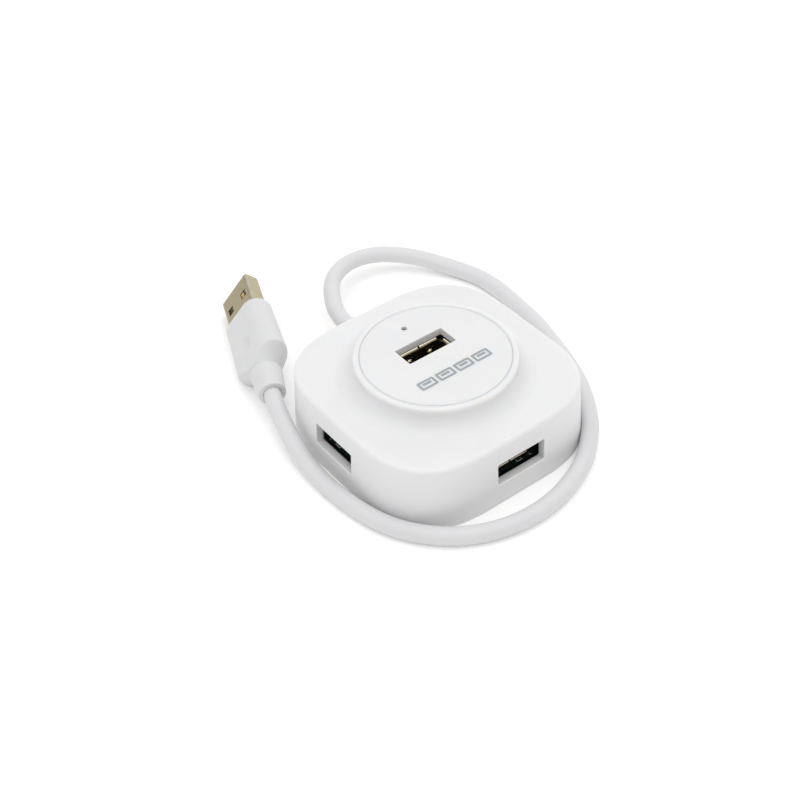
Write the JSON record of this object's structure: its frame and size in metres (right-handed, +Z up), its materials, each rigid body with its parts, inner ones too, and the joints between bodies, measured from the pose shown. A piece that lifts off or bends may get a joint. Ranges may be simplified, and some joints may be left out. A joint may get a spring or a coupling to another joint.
{
  "type": "usb hub",
  "caption": "Square white USB hub with very rounded corners, a raised round face with a port in it, ports in its sides, and a short captive lead ending in a plug.",
  "frame": {"origin": "on the resting surface, under the middle of the square case, with the lead left out", "axes": "+Z up; +Y to the rear, where the lead leaves the case; +X to the right along the front side, which is the way the top port's long side runs"},
  "size_m": [0.0855, 0.1139, 0.0237],
  "materials": {
    "case_plastic": "smooth satin white ABS",
    "cord_jacket": "smooth white PVC, satin",
    "nickel": "folded sheet metal with a warm nickel plating",
    "gold": "gold-flashed spring contact",
    "black_plastic": "moulded black thermoplastic",
    "nylon": "moulded white nylon",
    "board": "dark green solder mask on glass epoxy",
    "can_metal": "drawn can",
    "screw_steel": "zinc-plated screw",
    "clear_plastic": "clear moulded plastic",
    "wire_red": "PVC insulation",
    "wire_white": "PVC insulation",
    "wire_green": "PVC insulation",
    "wire_black": "PVC insulation"
  },
  "bodies": {
    "root": {"upper_shell": "case_plastic", "face_disc": "case_plastic", "base_plate": "case_plastic", "main_board": "board", "case_screw_1": "screw_steel", "case_screw_2": "screw_steel", "case_screw_3": "screw_steel", "case_screw_4": "screw_steel", "front_receptacle": "nickel", "front_tongue": "black_plastic", "front_contact_1": "gold", "front_contact_2": "gold", "front_contact_3": "gold", "front_contact_4": "gold", "right_receptacle": "nickel", "right_tongue": "black_plastic", "right_contact_1": "gold", "right_contact_2": "gold", "right_contact_3": "gold", "right_contact_4": "gold", "left_receptacle": "nickel", "left_tongue": "black_plastic", "left_contact_1": "gold", "left_contact_2": "gold", "left_contact_3": "gold", "left_contact_4": "gold", "top_receptacle": "nickel", "top_tongue": "black_plastic", "top_contact_1": "gold", "top_contact_2": "gold", "top_contact_3": "gold", "top_contact_4": "gold", "hub_chip": "black_plastic", "crystal": "can_metal", "input_capacitor": "can_metal", "output_capacitor": "can_metal", "status_led": "clear_plastic", "light_pipe": "clear_plastic", "cable_gland": "cord_jacket", "cord": "cord_jacket", "plug_grip": "cord_jacket", "plug_shell": "nickel", "plug_insulator": "nylon", "plug_contact_1": "gold", "plug_contact_2": "gold", "plug_contact_3": "gold", "plug_contact_4": "gold", "wire_red": "wire_red", "wire_white": "wire_white", "wire_green": "wire_green", "wire_black": "wire_black"}
  },
  "joints": []
}
